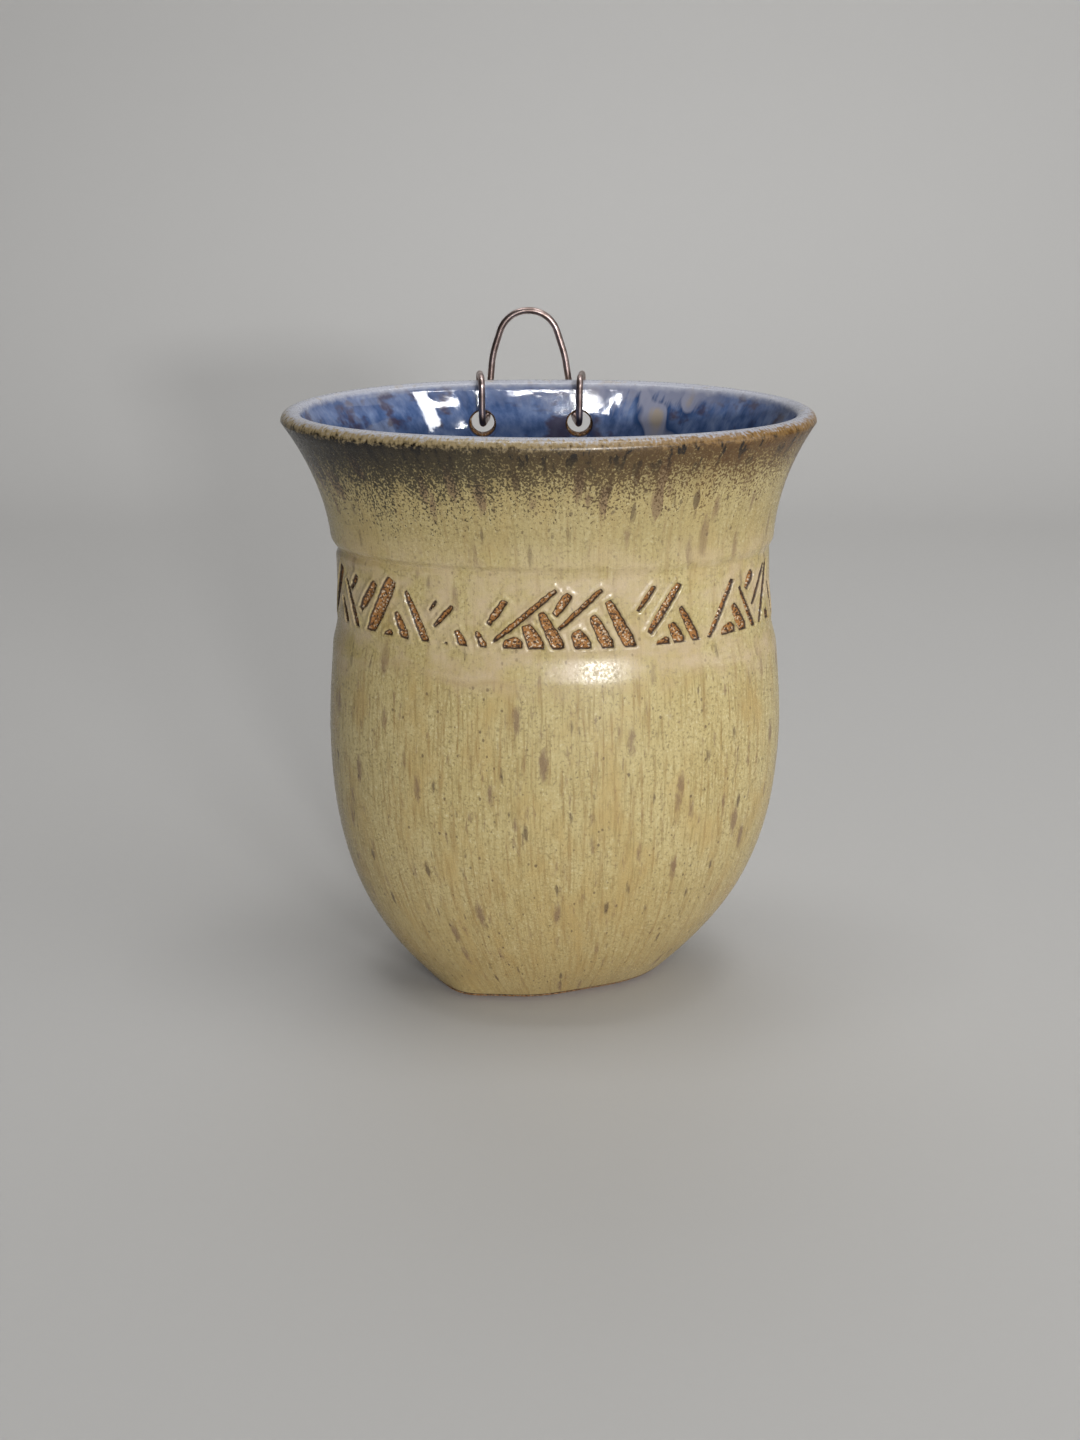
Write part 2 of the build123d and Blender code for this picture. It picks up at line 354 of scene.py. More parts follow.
def pot_rows(sizes):
    """Rows from the foot's middle up the outside, over the lip and down the inside to the floor's middle."""
    rows = [Row(0, 0, sizes.foot_radius, left, False) for left in UNDERSIDE_ROWS]
    for step in range(CURVE_STEPS):
        turn = pi / 2 * step / CURVE_STEPS
        rise = sizes.foot_radius * (1 - cos(turn))
        rows.append(Row(rise, rise, sizes.foot_radius * (1 - sin(turn)), 1, False))
    lip_foot = sizes.rim_height - sizes.lip_height
    stops = (sizes.foot_radius, *ROW_STOPS, lip_foot)
    for low, high, step in zip(stops, stops[1:], ROW_STEPS):
        rows += [Row(z, z, 0, 1, False) for z in rows_between(low, high, step * MM)]
    for step in range(LIP_STEPS + 1):
        turn = pi * step / LIP_STEPS
        across = sizes.wall * (1 - cos(turn)) / 2
        rows.append(Row(lip_foot + sizes.lip_height * sin(turn), lip_foot, across, 1, step > LIP_STEPS / 2))
    for z in rows_between(FLOOR_CURVE, lip_foot, INSIDE_STEP * MM)[::-1]:
        level = z - sizes.floor * max(0.0, 1 - z / sizes.belly_height)
        rows.append(Row(z, level, sizes.wall, 1, True))
    level = rows[-1].level
    for step in range(1, CURVE_STEPS + 1):
        turn = pi / 2 * step / CURVE_STEPS
        z = sizes.floor + (FLOOR_CURVE - sizes.floor) * (1 - sin(turn))
        rows.append(Row(z, level, sizes.wall, FLOOR_EDGE + (1 - FLOOR_EDGE) * cos(turn), True))
    rows += [Row(sizes.floor, level, sizes.wall, left, True) for left in FLOOR_ROWS]
    return rows


def pot_profile(sizes, rows):
    """Radius and height of each row while the pot is still round."""
    return [(row.left * (half_width(sizes, row.level) - row.inset), row.z) for row in rows]


def turned(name, profile, steps):
    """Turns a profile of radii and heights about the Z axis into a closed solid, one point after another."""
    bpy.ops.object.select_all(action="DESELECT")
    bpy.ops.mesh.primitive_plane_add(size=MM)
    piece = bpy.context.object
    piece.name = name
    bpy.ops.object.mode_set(mode="EDIT")
    bpy.ops.mesh.select_all(action="SELECT")
    bpy.ops.mesh.merge(type="CENTER")
    bpy.ops.transform.translate(value=(profile[0][0], 0, profile[0][1]))
    for (radius, height), (next_radius, next_height) in zip(profile, profile[1:]):
        move = (next_radius - radius, 0, next_height - height)
        bpy.ops.mesh.extrude_vertices_move(TRANSFORM_OT_translate={"value": move})
    bpy.ops.object.mode_set(mode="OBJECT")
    order = piece.data.attributes.new("row", "INT", "POINT")
    order.data.foreach_set("value", range(len(profile)))
    turn = piece.modifiers.new("wheel", "SCREW")
    turn.steps = steps
    turn.render_steps = steps
    turn.use_merge_vertices = True
    turn.merge_threshold = MM / 1000
    bpy.ops.object.modifier_apply(modifier=turn.name)
    bpy.ops.object.mode_set(mode="EDIT")
    bpy.ops.mesh.select_all(action="SELECT")
    bpy.ops.mesh.remove_doubles(threshold=MM / 1000)
    bpy.ops.mesh.normals_make_consistent(inside=False)
    bpy.ops.object.mode_set(mode="OBJECT")
    return piece


def strokes(motif):
    """A motif's strokes as start across, start height, slope, length, width and flare towards the start."""
    slope = radians(motif.slope)
    lean = radians(STAKE_LEAN)
    found = [(motif.start, BAND_BOTTOM + motif.rise, slope, motif.length, motif.width, 0)]
    across, rise, run, width = motif.short
    found.append((across, BAND_BOTTOM + rise, radians(SHORT_SLOPE), run, width, 0))
    under = (motif.width / 2 + motif.gap) / cos(slope)
    for foot, width in motif.stakes:
        room = motif.rise - under + (foot - motif.start) * tan(slope)
        tall = room / (1 - tan(slope) / tan(lean))
        tall = min(tall, motif.reach)
        found.append((foot, BAND_BOTTOM, lean, tall / sin(lean), width, STAKE_FLARE))
    return found


def carving(across, height):
    """Distance in millimetres to the nearest edge of a stroke, below zero inside it."""
    nearest = np.full(len(across), FAR)
    wobble = [noise.noise((s * WOBBLES_PER_MM, h * WOBBLES_PER_MM, 0.0)) for s, h in zip(across, height)]
    for motif in WEAVE:
        for start, base, slope, run, width, flaring in strokes(motif):
            right, up = across - start, height - base
            along = right * cos(slope) + up * sin(slope)
            aside = np.abs(up * cos(slope) - right * sin(slope))
            share = np.clip(along / run, 0, 1)
            pointed = 1 - STROKE_POINT * np.abs(2 * share - 1) ** POINT_SHARPNESS
            half = width / 2 * (1 + flaring * (0.5 - share)) * pointed
            bar = np.maximum(aside - half, np.maximum(-along - STROKE_OVERRUN, along - run))
            nearest = np.minimum(nearest, np.maximum(bar, BAND_BOTTOM - height))
    return nearest + np.array(wobble) * STROKE_WOBBLE


def turn_plan(x, y, angle):
    """Turns points of the plan about the axis."""
    return x * np.cos(angle) - y * np.sin(angle), x * np.sin(angle) + y * np.cos(angle)


class Surface:
    """Every vertex of the turned pot in plain numbers: its row, its way round, and what the glaze needs."""

    def __init__(self, pot, sizes, rows):
        count = len(pot.data.vertices)
        round_pot = np.empty(count * 3)
        pot.data.vertices.foreach_get("co", round_pot)
        x, y, _ = round_pot.reshape(-1, 3).T
        index = np.empty(count, int)
        pot.data.attributes["row"].data.foreach_get("value", index)
        self.turn = np.arctan2(x, -y)
        self.z = np.array([row.z for row in rows])[index]
        self.up = self.z / MM
        self.inside = np.array([row.inside for row in rows])[index]
        self.place(sizes, rows, index)
        self.measure(sizes, rows, index)

    def place(self, sizes, rows, index):
        """Pats the round rows into ovals with a flat back, and leans and arches them."""
        level, inset, left = np.array([(row.level, row.inset, row.left) for row in rows]).T
        half = np.array([half_width(sizes, row.level) for row in rows])
        flared = np.array([flare(sizes, row.level) for row in rows])
        depth = sizes.depth_ratio * half
        back = np.minimum(depth, sizes.back_depth + sizes.back_flare * flared)
        flat = sizes.flat_least + FLAT_GROWTH * (depth - back)
        side, front, back, flat, level, self.left = [values[index] for values in (
            left * (half - inset), left * (depth - inset), left * (back - inset), left * flat, level, left)]
        share = np.abs(self.turn) / pi
        hand = np.sign(self.turn)
        swing = np.clip(share / FRONT_SHARE, 0, 1) * pi / 2
        swing -= SIDE_CROWDING * np.sin(2 * swing) / 2
        rest = np.clip((share - FRONT_SHARE) / (1 - FRONT_SHARE), 0, 1)
        corner = np.clip(rest / (1 - FLAT_COLUMNS), 0, 1) * pi / 2
        slide = np.clip((rest - 1 + FLAT_COLUMNS) / FLAT_COLUMNS, 0, 1)
        ahead = share <= FRONT_SHARE

        def plan(side, front, back, flat):
            x = np.where(ahead, side * np.sin(swing), flat * (1 - slide) + (side - flat) * np.cos(corner))
            return x * hand, np.where(ahead, -front * np.cos(swing), back * np.sin(corner))

        self.x, self.y = plan(side, front, back, flat)
        neck = sizes.neck_width / 2
        neck_front = sizes.depth_ratio * neck
        neck_flat = sizes.flat_least + FLAT_GROWTH * (neck_front - sizes.back_depth)
        neck_plan = plan(neck, neck_front, sizes.back_depth, neck_flat)
        self.neck_x, self.neck_y = [values / MM for values in neck_plan]
        out_x = np.where(ahead, np.sin(swing) * front, np.cos(corner) * back)
        out_y = np.where(ahead, -np.cos(swing) * side, np.sin(corner) * (side - flat))
        size = np.maximum(np.hypot(out_x, out_y), 1e-9)
        self.out_x, self.out_y = hand * out_x / size, out_y / size
        twist = sizes.foot_twist * np.clip(1 - level / sizes.belly_height, 0, 1) ** 2
        self.x, self.y = turn_plan(self.x, self.y, twist)
        self.out_x, self.out_y = turn_plan(self.out_x, self.out_y, twist)
        self.x = self.x + sizes.belly_shift * np.sin(pi * level / sizes.rim_height)
        self.swing = np.where(ahead, swing, pi / 2) * hand
        self.ahead = ahead
        self.behind = rest
        crown = sizes.back_depth + sizes.back_flare - sizes.wall / 2
        reach = (sizes.rim_width / 2) ** 2 + crown ** 2
        fall = sizes.rim_rise * (self.x ** 2 + (self.y - crown) ** 2) / reach
        lifted = smooth(sizes.neck_height, sizes.rim_height, self.z)
        self.z = self.z + lifted * (sizes.rim_rise - fall)

    def measure(self, sizes, rows, index):
        """Millimetres across the front and along the profile from the lip, and the glaze's flow."""
        fine = np.linspace(0, pi / 2, ARC_STEPS)
        half = sizes.neck_width / 2 / MM
        speed = np.hypot(half * np.cos(fine), sizes.depth_ratio * half * np.sin(fine))
        arc = np.concatenate([[0], np.cumsum((speed[1:] + speed[:-1]) / 2 * np.diff(fine))])
        self.across = np.interp(np.abs(self.swing), fine, arc) * np.sign(self.turn)
        points = np.array(pot_profile(sizes, rows))
        steps = np.hypot(*np.diff(points, axis=0).T)
        run = np.concatenate([[0], np.cumsum(steps)]) / MM
        crest = run[np.argmax([row.z for row in rows])]
        self.from_lip = (run - crest)[index]
        self.flow = np.stack([self.neck_x, self.neck_y, self.from_lip], axis=1)

    def push(self, amount):
        """Moves the surface outwards by an amount in millimetres."""
        self.x = self.x + self.out_x * amount * MM
        self.y = self.y + self.out_y * amount * MM

    def points(self):
        """Places of all vertices in metres."""
        return np.stack([self.x, self.y, self.z], axis=1)


def hand_marks(surface):
    """Uneven touch of the hand in millimetres: slow waves, a belt, a ledge that fades, a lumpy foot."""
    across, up = surface.across, surface.up
    waves = np.array([noise.noise(place / WAVE_LENGTH) for place in map(Vector, surface.points())])
    waves *= WAVE_HEIGHT
    belt = -BELT_DEPTH * smooth(*BELT_FOOT, up) * (1 - smooth(*BELT_HEAD, up))
    kept = 1 - sum(loss * smooth(start, end, across) for start, end, loss in LEDGE_LOSSES)
    ledge_height = LEDGE_HEIGHT - LEDGE_SAG * across ** 2
    ledge = -LEDGE_DEPTH * kept * np.exp(-((up - ledge_height) / LEDGE_WIDTH) ** 2)
    pressed = (belt + ledge) * (1 - smooth(0, BELT_FADE, surface.behind))
    foot = np.zeros(len(up))
    for dent in FOOT_DENTS:
        aside = (surface.x / MM - dent.across) / dent.wide
        foot += dent.push * np.exp(-aside ** 2 - (up / dent.tall) ** 2)
    foot *= (surface.y < 0) * surface.left ** 2
    marks = np.where(up > WAVES_ABOVE, waves, 0) + pressed + foot
    return np.where(surface.inside, INSIDE_WAVES * waves, marks)


def press_band(surface):
    """Presses the band's strokes into the front, and gives each point's distance from a stroke's edge."""
    in_band = (surface.up > BAND_BOTTOM - BAND_MARGIN) & (surface.up < BAND_TOP)
    front = ~surface.inside & surface.ahead & in_band
    edge = np.full(len(surface.x), FAR)
    edge[front] = carving(surface.across[front], surface.up[front])
    pressed = -STROKE_DEPTH * smooth(*STROKE_EDGE, edge)
    raised = BURR_HEIGHT * np.exp(-((edge - BURR_PLACE) / BURR_WIDTH) ** 2)
    surface.push(np.where(front, pressed + raised, 0))
    return edge


def pierce(pot, sizes, across):
    """Cuts one hanger hole with a spool, so that its edges are eased as by a damp finger."""
    radius = sizes.hole_diameter / 2
    middle = sizes.back_depth + sizes.back_flare * flare(sizes, sizes.hole_height) - sizes.wall / 2
    bore = sizes.wall / 2 - HOLE_EASE
    far = bore + SPOOL_REACH
    mouth = radius + HOLE_FLARE / HOLE_EASE * SPOOL_REACH / 2
    outline = [(0, -far), (mouth, -far), (radius, -bore), (radius, bore), (mouth, far), (0, far)]
    spool = turned("spool", outline, SPOOL_STEPS)
    spool.rotation_euler = (pi / 2, 0, 0)
    spool.location = (across, middle, sizes.hole_height)
    bpy.ops.object.transform_apply(location=True, rotation=True, scale=True)
    bpy.ops.object.select_all(action="DESELECT")
    pot.select_set(True)
    bpy.context.view_layer.objects.active = pot
    cut = pot.modifiers.new("hanger hole", "BOOLEAN")
    cut.object = spool
    cut.operation = "DIFFERENCE"
    cut.solver = "EXACT"
    bpy.ops.object.modifier_apply(modifier=cut.name)
    bpy.data.objects.remove(spool)


def keep_on_mesh(pot, surface, bare, holes, sizes):
    """Writes the glaze's measures on the pot's points, each from the nearest point before the holes."""
    tree = kdtree.KDTree(len(surface.x))
    for number, place in enumerate(surface.points()):
        tree.insert(place, number)
    tree.balance()
    nearest = np.array([tree.find(vertex.co)[1] for vertex in pot.data.vertices])
    places = np.empty(len(nearest) * 3)
    pot.data.vertices.foreach_get("co", places)
    x, y, z = places.reshape(-1, 3).T
    edge = bare[nearest]
    for across in holes:
        from_axis = np.hypot(x - across, z - sizes.hole_height) / MM
        near = np.where(y > 0, from_axis - sizes.hole_diameter / 2 / MM - HOLE_BARE, FAR)
        edge = np.minimum(edge, near)
    for name, kind, values, field in (
            ("bare", "FLOAT", edge, "value"),
            ("from_lip", "FLOAT", surface.from_lip[nearest], "value"),
            ("flow", "FLOAT_VECTOR", surface.flow[nearest], "vector")):
        layer = pot.data.attributes.new(name, kind, "POINT")
        layer.data.foreach_set(field, np.ascontiguousarray(values, dtype=np.float32).ravel())
    pot.data.attributes.remove(pot.data.attributes["row"])


def add(tree, kind, inputs=(), give=None, **settings):
    """Adds a node with inputs by name or in order, and returns its first live output or the one asked for."""
    node = tree.nodes.new("ShaderNode" + kind)
    for name, value in settings.items():
        setattr(node, name, value)
    sockets = {socket.identifier: socket for socket in node.inputs}
    named = inputs if isinstance(inputs, dict) else dict(zip(sockets, inputs))
    for name, value in named.items():
        if isinstance(value, bpy.types.NodeSocket):
            tree.links.new(value, sockets[name])
        elif sockets[name].type == "RGBA":
            sockets[name].default_value = (*value, 1)
        else:
            sockets[name].default_value = value
    if give:
        return node.outputs[give]
    return next((socket for socket in node.outputs if socket.enabled), None)


def new_material(name):
    """An empty node material and its tree."""
    material = bpy.data.materials.new(name)
    material.use_nodes = True
    material.node_tree.nodes.clear()
    return material, material.node_tree


def stretched(tree, flow, wide, tall, detail=2):
    """Noise whose patches are so many millimetres wide across the pot and tall along the run of its glaze."""
    place = add(tree, "VectorMath", (flow, (1 / wide, 1 / wide, 1 / tall)), operation="MULTIPLY")
    return add(tree, "TexNoise", {"Vector": place, "Scale": 1, "Detail": detail, "Roughness": 0.6})


def layered(tree, body, layers):
    """Lays colours over one another, each where its own mask shows it."""
    for mask, tint in layers:
        body = add(tree, "Mix", {"Factor_Float": mask, "A_Color": body, "B_Color": tint}, data_type="RGBA")
    return body


def iron_drips(tree, colours, flow, share, crowding):
    """Layers of iron marks: long drips, short drips and pepper, each a ragged spot in a cell of its grid."""
    ragged = stretched(tree, flow, 0.6, 2)
    layers = []
    for drip in DRIPS:
        size = (1 / drip.wide, 1 / drip.wide, 1 / drip.tall)
        place = add(tree, "VectorMath", (flow, size), operation="MULTIPLY")
        away = add(tree, "TexVoronoi", {"Vector": place, "Scale": 1}, give="Distance")
        lot = add(tree, "SeparateColor", {"Color": away.node.outputs["Color"]})
        reach = add(tree, "MapRange", (lot, drip.empty, 1, -0.3, drip.reach), clamp=False)
        reach = add(tree, "Math", (crowding, 0.2, reach), operation="MULTIPLY_ADD")
        depth = add(tree, "Math", (reach, away), operation="SUBTRACT")
        depth = add(tree, "Math", (ragged, 0.5, depth), operation="MULTIPLY_ADD")
        spot = add(tree, "MapRange", (depth, 0.16, 0.4, 0, drip.opacity))
        spot = add(tree, "Math", (spot, share), operation="MULTIPLY")
        layers.append((spot, getattr(colours, drip.tint)))
    return layers


def run_glaze(tree, colours, flow, from_lip):
    """Layers of the dark glaze that ran down from the lip: soft smoke, dots that thin out, and blots,
    darkened towards the left by painted shade.
    """
    across = add(tree, "SeparateXYZ", {"Vector": flow})
    # The run glaze turns warm umber to the right, and towards the left it is darkened to ink as painted
    # shade.
    painted_shade_left = add(tree, "MapRange", (across, -6, -36))
    rightward = add(tree, "MapRange", (across, -14, 36, 0, 0.85))
    tint = layered(tree, colours.smoke, [(rightward, colours.umber), (painted_shade_left, colours.ink_and_shade)])

    # Smoke is closed at the lip and gone about 17 mm below it; on the left it reaches a little further and is
    # blacker, which is painted shade.
    low = add(tree, "Math", (stretched(tree, flow, 1.3, 11, 3), 13, from_lip), operation="MULTIPLY_ADD")
    low = add(tree, "Math", (painted_shade_left, 2, low), operation="MULTIPLY_ADD")
    most = add(tree, "MapRange", (painted_shade_left, 0, 1, 0.8, 0.97))
    smoke = add(tree, "MapRange", (low, -10, 5, 0, most))

    # Dots cover half of the glaze 12 mm below the lip and hardly any of it 25 mm below, with a few more on
    # the left as painted shade.
    dots = add(tree, "Math", (from_lip, 0.0168, stretched(tree, flow, 0.46, 0.6)), operation="MULTIPLY_ADD")
    for patch, weight in ((stretched(tree, flow, 4, 14, 3), 0.3), (painted_shade_left, 0.08)):
        dots = add(tree, "Math", (patch, weight, dots), operation="MULTIPLY_ADD")
    dots = add(tree, "MapRange", (dots, 0.4, 0.48, 0, 0.85))

    near_lip = add(tree, "MapRange", (from_lip, -12, -5, 0, 0.92))
    blots = add(tree, "MapRange", (stretched(tree, flow, 1.7, 5, 3), 0.54, 0.6))
    blots = add(tree, "Math", (blots, near_lip), operation="MULTIPLY")
    return [(smoke, tint), (dots, tint), (blots, colours.ink_and_shade)]


def ochre_glaze(tree, colours, flow, from_lip):
    """Satin ochre glaze that ran down: fine grain, faint streaks, a pinkish bloom at the band, iron drips."""
    cloud = stretched(tree, flow, 22, 22)
    thick = add(tree, "MapRange", (cloud, 0.42, 0.62, 0, 0.7))
    grain = stretched(tree, flow, 0.6, 0.7, 3)
    light = add(tree, "MapRange", (grain, 0.46, 0.3, 0, 0.9))
    dark = add(tree, "MapRange", (grain, 0.52, 0.7, 0, 0.95))
    layers = [(thick, colours.pale), (light, colours.cream), (dark, colours.sage)]

    # Streaks are full under a wavy edge about 61 mm below the lip and fainter above it.
    wave = add(tree, "Math", (stretched(tree, flow, 18, 18, 1), 18, from_lip), operation="MULTIPLY_ADD")
    belly = add(tree, "MapRange", (wave, -49, -55))
    streaked = add(tree, "MapRange", (belly, 0, 1, 0.6))
    for wide, tall, start, full, most, tint in (
            (9, 22, 0.5, 0.66, 0.7, colours.honey),
            (0.6, 8, 0.5, 0.7, 0.75, colours.tan),
            (1.1, 15, 0.52, 0.68, 0.6, colours.rust),
            (1.2, 6, 0.6, 0.72, 0.5, colours.mauve)):
        streak = stretched(tree, flow, wide, tall, 3)
        mask = add(tree, "MapRange", (streak, start, full, 0, most))
        mask = add(tree, "Math", (mask, streaked), operation="MULTIPLY")
        layers.append((mask, tint))

    low = add(tree, "MapRange", (from_lip, -95, -145, 0, 0.4))
    upper = add(tree, "MapRange", (from_lip, -36, -26, 0, 0.25))
    layers += [(low, colours.rust), (upper, colours.sage)]

    # The bloom lies in patches from that edge up to the ledge above the band, a warm line along the edge.
    bloom = add(tree, "MapRange", (from_lip, -26, -38))
    bloom = add(tree, "Math", (bloom, belly), operation="SUBTRACT", use_clamp=True)
    patchy = add(tree, "MapRange", (stretched(tree, flow, 9, 7, 3), 0.4, 0.64, 0, 0.72))
    bloom = add(tree, "Math", (bloom, patchy), operation="MULTIPLY")
    off_edge = add(tree, "Math", (wave, 51), operation="ADD")
    off_edge = add(tree, "Math", (off_edge,), operation="ABSOLUTE")
    line = add(tree, "MapRange", (off_edge, 0, 1.4, 0.4, 0))
    line = add(tree, "Math", (line, patchy), operation="MULTIPLY")
    layers += [(bloom, colours.blush), (line, colours.rust)]
    near_lip = add(tree, "MapRange", (from_lip, -30, -18))
    dripping = add(tree, "Math", (belly, near_lip), operation="MAXIMUM")
    dripping = add(tree, "MapRange", (dripping, 0, 1, 0.6))
    layers += iron_drips(tree, colours, flow, dripping, near_lip)
    layers += run_glaze(tree, colours, flow, from_lip)
    rough = add(tree, "MapRange", (grain, 0.34, 0.66, 0.2, 0.42))
    return layered(tree, colours.ochre, layers), rough, grain


def blue_glaze(tree, colours, flow, from_lip):
    """Glossy blue glaze that pooled inside: lavender runs at the lip, lobes to the right, brown spots."""
    mottle = stretched(tree, flow, 3.5, 6, 5)
    light = add(tree, "MapRange", (mottle, 0.48, 0.68, 0, 0.8))
    deep = add(tree, "MapRange", (mottle, 0.48, 0.32, 0, 0.8))
    spots = add(tree, "MapRange", (stretched(tree, flow, 7, 6, 3), 0.54, 0.64, 0, 0.8))
    layers = [(light, colours.light_blue), (deep, colours.deep_blue), (spots, colours.plum)]

    # To the right the glaze curdled under the lip: lobes with dark rims, parted by lavender and sandy seams.
    across = add(tree, "SeparateXYZ", {"Vector": flow})
    curdled = add(tree, "MapRange", (from_lip, 32, 14))
    for start, full in ((2, 10), (40, 30)):
        part = add(tree, "MapRange", (across, start, full))
        curdled = add(tree, "Math", (curdled, part), operation="MULTIPLY")
    aside = add(tree, "CombineXYZ", {"Z": across})
    slanted = add(tree, "VectorMath", (aside, LOBE_SLANT, flow), operation="MULTIPLY_ADD")
    lobe = stretched(tree, slanted, 10, 13, 1)
    for start, full, most, tint in (
            (0.6, 0.5, 0.95, colours.deep_blue),
            (0.49, 0.45, 0.9, colours.vein),
            (0.42, 0.35, 0.6, colours.sand)):
        seam = add(tree, "MapRange", (lobe, start, full, 0, most))
        seam = add(tree, "Math", (seam, curdled), operation="MULTIPLY")
        layers.append((seam, tint))

    # Under the lip the glaze ran thin in pale icicles.
    icicles = add(tree, "Math", (stretched(tree, flow, 1.6, 9, 3), -15, from_lip), operation="MULTIPLY_ADD")
    thin = add(tree, "MapRange", (icicles, 1.0, -2.5, 0, 0.8))
    for start, full in ((-8, 14), (40, 28)):
        frosted = add(tree, "MapRange", (across, start, full, 0.25))
        thin = add(tree, "Math", (thin, frosted), operation="MULTIPLY")
    layers.append((thin, colours.vein))
    rough = add(tree, "MapRange", (mottle, 0.3, 0.7, 0.03, 0.07))
    return layered(tree, colours.blue, layers), rough


def bare_clay(tree, colours, place):
    """Fired brown clay with light and dark grit about 0.4 mm across, dull, the light grains glinting."""
    grit = add(tree, "TexVoronoi", {"Vector": place, "Scale": 1 / (0.38 * MM)}, give="Color")
    grain = add(tree, "SeparateColor", {"Color": grit})
    light = add(tree, "MapRange", (grain, 0.8, 0.9))
    dark = add(tree, "MapRange", (grain, 0.32, 0.24, 0, 0.85))
    body = layered(tree, colours.clay, [(light, colours.clay_light), (dark, colours.clay_dark)])
    rough = add(tree, "MapRange", (light, 0, 1, 0.75, 0.22))
    return body, rough, grain


def glazed_stoneware(colours):
    """Wheel-thrown stoneware, satin ochre glaze outside and glossy blue inside, bare where it was cut."""
    material, tree = new_material("glazed stoneware")
    flow = add(tree, "Attribute", give="Vector", attribute_name="flow")
    from_lip = add(tree, "Attribute", give="Fac", attribute_name="from_lip")
    bare = add(tree, "Attribute", give="Fac", attribute_name="bare")
    place = add(tree, "TexCoord", give="Object")
    ochre, ochre_rough, ochre_grain = ochre_glaze(tree, colours, flow, from_lip)
    blue, blue_rough = blue_glaze(tree, colours, flow, from_lip)
    clay, clay_rough, grit = bare_clay(tree, colours, place)

    # The lip wears both glazes thin: grey on top and sandy outside, amber to the right, with a ragged edge.
    wander = stretched(tree, flow, 2, 2, 4)
    at = add(tree, "Math", (wander, 3, from_lip), operation="MULTIPLY_ADD")
    within = add(tree, "MapRange", (at, 3.4, 5.2))
    speckle = stretched(tree, flow, 0.6, 0.8, 3)
    broken = add(tree, "Math", (speckle, 6, at), operation="MULTIPLY_ADD")
    sandy = add(tree, "MapRange", (broken, 0.5, 2.0, 0, 0.7))
    worn = add(tree, "MapRange", (broken, 2.4, 3.9, 0, 0.95))
    across = add(tree, "SeparateXYZ", {"Vector": flow})
    rightward = add(tree, "MapRange", (across, -6, 26, 0, 0.8))
    sand = layered(tree, colours.sand, [(rightward, colours.amber)])
    freckles = add(tree, "MapRange", (wander, 0.56, 0.68, 0, 0.38))
    lip = layered(tree, colours.lip, [(freckles, colours.sand)])
    body = layered(tree, ochre, [(sandy, sand), (worn, lip), (within, blue)])
    rough = add(tree, "Mix", {"Factor_Float": within, "A_Float": ochre_rough, "B_Float": blue_rough})

    # Bare clay fills the strokes, holes and foot, with a burnt line where the glaze stops.
    is_clay = add(tree, "MapRange", (bare, 0.02, -0.14))
    off_line = add(tree, "Math", (bare, 0.12), operation="ADD")
    off_line = add(tree, "Math", (off_line,), operation="ABSOLUTE")
    burnt = add(tree, "MapRange", (off_line, 0.05, 0.24, 0.92, 0))
    body = layered(tree, body, [(is_clay, clay), (burnt, colours.clay_dark)])
    rough = add(tree, "Mix", {"Factor_Float": is_clay, "A_Float": rough, "B_Float": clay_rough})

    # Relief in millimetres: orange peel and fine grain of the fired glaze, and grit in the clay.
    peel = add(tree, "Math", (stretched(tree, flow, 1.6, 1.6), 0.03), operation="MULTIPLY")
    peel = add(tree, "Math", (ochre_grain, 0.02, peel), operation="MULTIPLY_ADD")
    smooth_glass = add(tree, "Math", (stretched(tree, flow, 4, 4), 0.02), operation="MULTIPLY")
    peel = add(tree, "Mix", {"Factor_Float": within, "A_Float": peel, "B_Float": smooth_glass})
    gritty = add(tree, "Math", (grit, 0.22), operation="MULTIPLY")
    relief = add(tree, "Mix", {"Factor_Float": is_clay, "A_Float": peel, "B_Float": gritty})
    bump = add(tree, "Bump", {"Height": relief, "Strength": 1, "Distance": MM})
    shader = add(tree, "BsdfPrincipled",
                 {"Base Color": body, "Roughness": rough, "Normal": bump, "IOR": 1.52})
    add(tree, "OutputMaterial", {"Surface": shader})
    return material


def patinated_copper(colours):
    """Drawn copper wire gone brown in the air: rubbed brighter in patches, finely scratched."""
    material, tree = new_material("patinated copper wire")
    place = add(tree, "TexCoord", give="Object")
    age = add(tree, "TexNoise", {"Vector": place, "Scale": 1 / (3 * MM), "Detail": 4})
    rubbed = add(tree, "MapRange", (age, 0.42, 0.72))
    body = layered(tree, colours.brown, [(rubbed, colours.bright)])
    rough = add(tree, "MapRange", (age, 0.35, 0.7, 0.42, 0.28))
    scratch = add(tree, "TexNoise", {"Vector": place, "Scale": 1 / (0.35 * MM), "Detail": 2})
    bump = add(tree, "Bump", {"Height": scratch, "Strength": 0.25, "Distance": 0.05 * MM})
    shader = add(tree, "BsdfPrincipled",
                 {"Base Color": body, "Metallic": 1, "Roughness": rough, "Normal": bump})
    add(tree, "OutputMaterial", {"Surface": shader})
    return material


def matt_paper(tint):
    """Matt paper off a roll: dull, with a faint tooth that keeps what it mirrors soft."""
    material, tree = new_material("matt paper sweep")
    place = add(tree, "TexCoord", give="Object")
    tooth = add(tree, "TexNoise", {"Vector": place, "Scale": 1 / (2.5 * MM), "Detail": 2})
    rough = add(tree, "MapRange", (tooth, 0, 1, 0.6, 0.75))
    bump = add(tree, "Bump", {"Height": tooth, "Strength": 0.15, "Distance": 0.2 * MM})
    shader = add(tree, "BsdfPrincipled", {"Base Color": tint, "Roughness": rough, "Normal": bump})
    add(tree, "OutputMaterial", {"Surface": shader})
    return material


